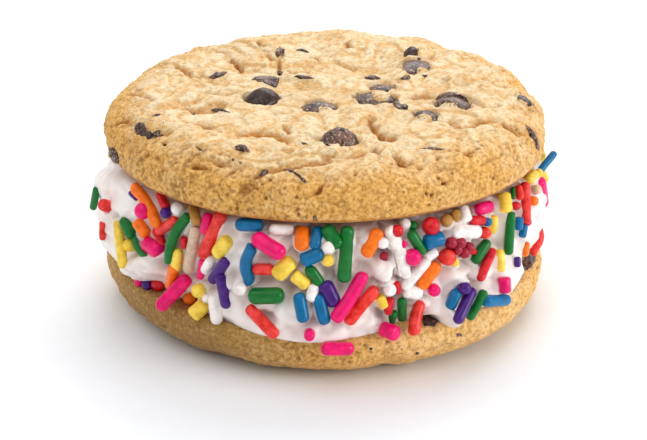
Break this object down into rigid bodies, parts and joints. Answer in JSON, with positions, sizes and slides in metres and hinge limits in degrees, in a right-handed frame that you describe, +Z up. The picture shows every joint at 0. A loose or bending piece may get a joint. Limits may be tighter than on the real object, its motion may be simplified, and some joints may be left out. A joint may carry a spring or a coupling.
{
  "type": "cookie ice cream sandwich",
  "caption": "Round ice cream sandwich: a thick slab of vanilla ice cream coated in rainbow sprinkles between chocolate chip cookies.",
  "frame": {"origin": "centre of the flat spot under the bottom cookie that the sandwich rests on", "axes": "+Z up through the layers, -Y towards the side seen from the front, +X to its right"},
  "size_m": [0.0735, 0.0744, 0.0365],
  "materials": {
    "cookie": "matte, baked crumb",
    "ice_cream": "soft, slightly wet, with sprinkles of many colours",
    "chocolate": "satin, dusty"
  },
  "bodies": {
    "root": {"bottom_cookie": "cookie", "ice_cream": "ice_cream", "top_cookie": "cookie", "top_chip_1": "chocolate", "top_chip_2": "chocolate", "top_chip_3": "chocolate", "top_chip_4": "chocolate", "top_chip_5": "chocolate", "top_chip_6": "chocolate", "top_chip_7": "chocolate", "top_chip_8": "chocolate", "top_chip_9": "chocolate", "top_chip_10": "chocolate", "top_chip_11": "chocolate", "bottom_chip_1": "chocolate", "bottom_chip_2": "chocolate", "bottom_chip_3": "chocolate"}
  },
  "joints": []
}
